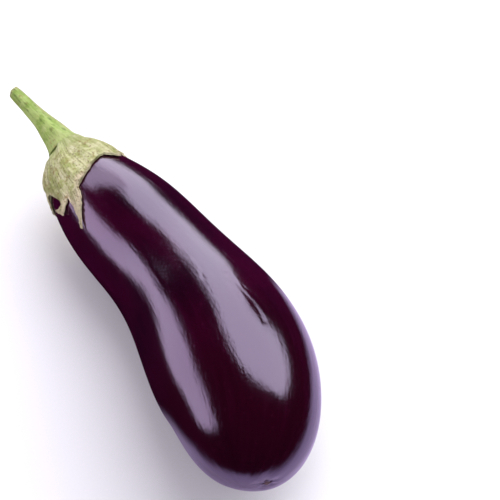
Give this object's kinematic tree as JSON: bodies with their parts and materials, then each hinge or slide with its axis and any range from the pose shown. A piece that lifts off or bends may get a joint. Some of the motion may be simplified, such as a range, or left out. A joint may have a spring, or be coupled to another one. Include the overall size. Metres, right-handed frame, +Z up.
{
  "type": "eggplant",
  "caption": "Whole curved eggplant lying on its side: glossy dark purple pear-shaped fruit, pale speckled calyx with pointed sepals, and a cut green stem.",
  "frame": {"origin": "centre of the bounding box in X and Y, at the height of the flat spot that the eggplant rests on", "axes": "+X along the fruit from the cut stem to the blossom end, +Z up from the surface it lies on, +Y towards the outside of the fruit's sideways bend"},
  "size_m": [0.253, 0.0832, 0.0777],
  "materials": {
    "skin": "waxy gloss",
    "calyx": "dry, fibrous and speckled",
    "stem": "matte, fine hairs and blotches"
  },
  "bodies": {
    "root": {"fruit": "skin", "calyx": "calyx", "stem": "stem"}
  },
  "joints": []
}
